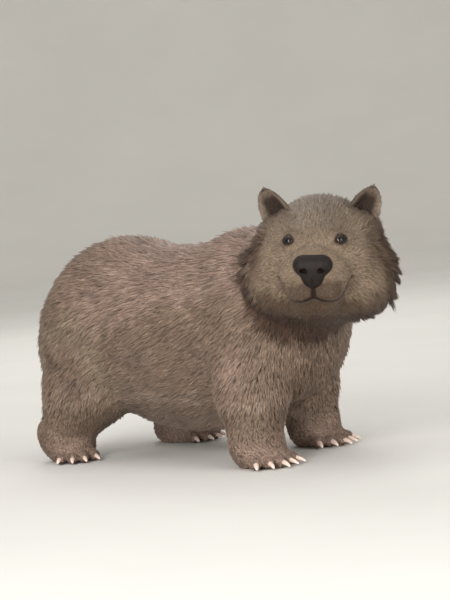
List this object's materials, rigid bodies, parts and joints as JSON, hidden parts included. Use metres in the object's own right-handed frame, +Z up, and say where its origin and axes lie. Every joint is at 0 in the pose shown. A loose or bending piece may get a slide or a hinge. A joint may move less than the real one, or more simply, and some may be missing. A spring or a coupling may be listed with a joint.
{
  "type": "common wombat",
  "caption": "Life-size standing wombat, bare-nosed and stocky, with its head raised and turned towards its right shoulder.",
  "frame": {"origin": "on the floor under the middle of the bounding box", "axes": "+X from rump to chest, +Y to the animal's left, +Z up, floor at z = 0"},
  "size_m": [0.7951, 0.362, 0.4485],
  "materials": {
    "coat_body": "dense coarse fur",
    "coat_head": "short dense fur",
    "coat_leg": "dense coarse fur",
    "coat_ear": "short fur",
    "nose_skin": "grainy matt skin",
    "eye_gloss": "wet gloss",
    "claw_horn": "worn horn"
  },
  "bodies": {
    "root": {"torso": "coat_body", "neck": "coat_body", "tail": "coat_body", "head": "coat_head", "ear_left": "coat_ear", "eye_left": "eye_gloss", "ear_right": "coat_ear", "eye_right": "eye_gloss", "nose": "nose_skin", "leg_front_right": "coat_leg", "claw_front_right_1": "claw_horn", "claw_front_right_2": "claw_horn", "claw_front_right_3": "claw_horn", "claw_front_right_4": "claw_horn", "claw_front_right_5": "claw_horn", "leg_front_left": "coat_leg", "claw_front_left_1": "claw_horn", "claw_front_left_2": "claw_horn", "claw_front_left_3": "claw_horn", "claw_front_left_4": "claw_horn", "claw_front_left_5": "claw_horn", "leg_hind_right": "coat_leg", "claw_hind_right_1": "claw_horn", "claw_hind_right_2": "claw_horn", "claw_hind_right_3": "claw_horn", "claw_hind_right_4": "claw_horn", "leg_hind_left": "coat_leg", "claw_hind_left_1": "claw_horn", "claw_hind_left_2": "claw_horn", "claw_hind_left_3": "claw_horn", "claw_hind_left_4": "claw_horn"}
  },
  "joints": []
}
